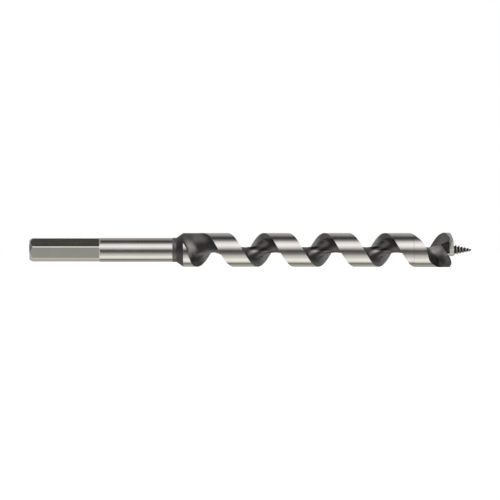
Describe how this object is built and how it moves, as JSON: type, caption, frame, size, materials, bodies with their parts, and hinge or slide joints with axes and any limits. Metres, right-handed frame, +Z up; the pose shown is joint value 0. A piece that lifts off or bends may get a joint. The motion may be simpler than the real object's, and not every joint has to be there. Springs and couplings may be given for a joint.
{
  "type": "auger bit",
  "caption": "Wood auger bit: hex drive shank, dark tapered collar, single right-hand flight with an open flute, head with cutting lip and spur, and a conical lead screw.",
  "frame": {"origin": "centre of the butt end of the shank, on the axis of the bit", "axes": "+X along the axis towards the lead screw, +Z up, the open side of the last flute turn faces +Z"},
  "size_m": [0.23, 0.018, 0.018],
  "materials": {
    "shank_steel": "fine-ground bright steel, duller on the milled flats",
    "collar_oxide": "heat-darkened steel with a purple-black oxide",
    "flight_steel": "bright ground land, dark oxide in the flute",
    "head_steel": "ground grey steel, dark in the throat",
    "screw_oxide": "dark oxide with worn thread crests"
  },
  "bodies": {
    "root": {"hex_shank": "shank_steel", "weld_collar": "collar_oxide", "spiral_body": "flight_steel", "cutter_head": "head_steel", "lead_screw": "screw_oxide"}
  },
  "joints": []
}
